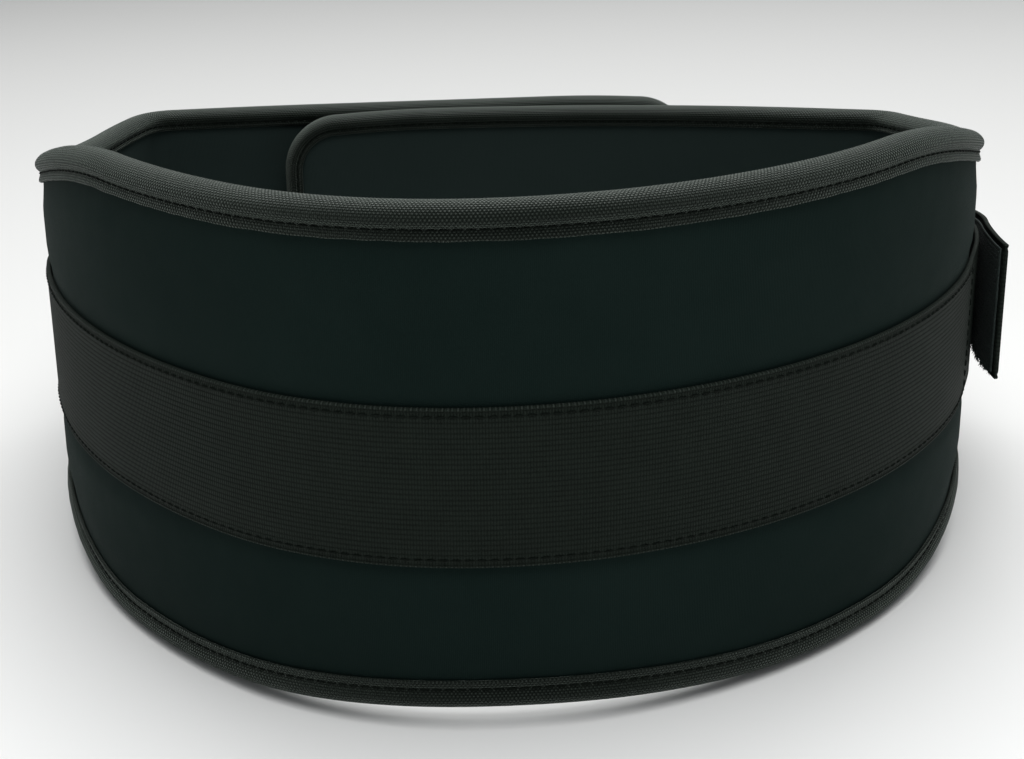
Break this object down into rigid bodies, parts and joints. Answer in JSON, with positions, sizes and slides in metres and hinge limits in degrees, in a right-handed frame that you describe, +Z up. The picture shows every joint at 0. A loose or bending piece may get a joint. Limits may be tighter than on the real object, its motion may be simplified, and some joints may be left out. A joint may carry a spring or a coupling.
{
  "type": "weightlifting belt",
  "caption": "Contoured foam-core lifting belt, fastened into a loop and standing on edge: bound edges, webbing strap round the outside, ring at the lap and a hook-tape tip.",
  "frame": {"origin": "middle of the footprint, on the surface that the belt stands on", "axes": "+Z up, -Y out of the wide back panel that faces the viewer, +X to the viewer's right, where the strap's tip lies"},
  "size_m": [0.3518, 0.3116, 0.1637],
  "materials": {
    "panel_knit": "smooth dark green-black tricot over foam",
    "binding_tape": "ribbed black binding tape, folded and stitched",
    "strap_webbing": "black ribbed webbing",
    "hook_tape": "black hook tape, coarse and fuzzy",
    "ring_steel": "plain bent steel bar"
  },
  "bodies": {
    "root": {"panel": "panel_knit", "binding": "binding_tape", "strap": "strap_webbing", "hook_tape": "hook_tape", "ring": "ring_steel"}
  },
  "joints": []
}
